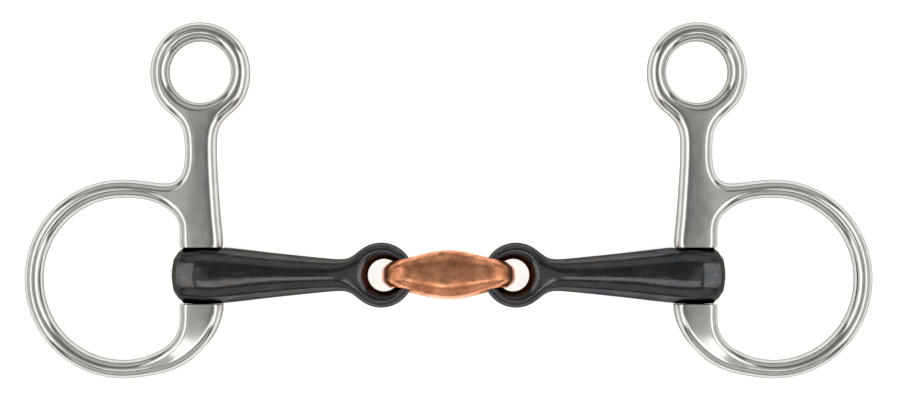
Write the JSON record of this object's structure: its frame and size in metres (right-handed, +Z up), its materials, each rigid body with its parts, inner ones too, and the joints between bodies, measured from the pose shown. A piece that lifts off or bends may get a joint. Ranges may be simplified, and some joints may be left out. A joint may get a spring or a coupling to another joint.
{
  "type": "snaffle bit",
  "caption": "Hanging-cheek snaffle bit: eye and rein rings on hinged steel cheeks, with an iron mouthpiece jointed on a copper lozenge.",
  "frame": {"origin": "middle of the underside of the bit as it lies flat: the lowest points are the two butts of the mouthpiece", "axes": "+X along the mouthpiece to the right cheek, +Y from the mouthpiece to the bridle eyes, +Z up from the surface the bit lies on"},
  "size_m": [0.2338, 0.0978, 0.0156],
  "materials": {
    "stainless_steel": "mirror-polished stainless steel with faint polishing lines",
    "pin_steel": "ground stainless steel",
    "sweet_iron": "blued sweet iron, satin",
    "copper": "copper, satin with patina"
  },
  "bodies": {
    "link": {"centre_link": "copper"},
    "mouth_left": {"cannon_left": "sweet_iron"},
    "mouth_right": {"cannon_right": "sweet_iron"},
    "side_left": {"cheek_left": "stainless_steel", "hinge_pin_left": "pin_steel"},
    "side_right": {"cheek_right": "stainless_steel", "hinge_pin_right": "pin_steel"}
  },
  "joints": [
    {"name": "mouth_fold_left", "type": "hinge", "parent": "link", "child": "mouth_left", "pos_m": [-0.011, -0.02085, 0.0078], "axis": [0, 1, 0], "range_deg": [-45, 45]},
    {"name": "mouth_fold_right", "type": "hinge", "parent": "link", "child": "mouth_right", "pos_m": [0.011, -0.02085, 0.0078], "axis": [0, -1, 0], "range_deg": [-45, 45]},
    {"name": "cheek_swing_left", "type": "hinge", "parent": "mouth_left", "child": "side_left", "pos_m": [-0.0681, -0.02085, 0.0078], "axis": [0, 1, 0], "range_deg": [-150, 150]},
    {"name": "cheek_swing_right", "type": "hinge", "parent": "mouth_right", "child": "side_right", "pos_m": [0.0681, -0.02085, 0.0078], "axis": [0, -1, 0], "range_deg": [-150, 150]}
  ]
}
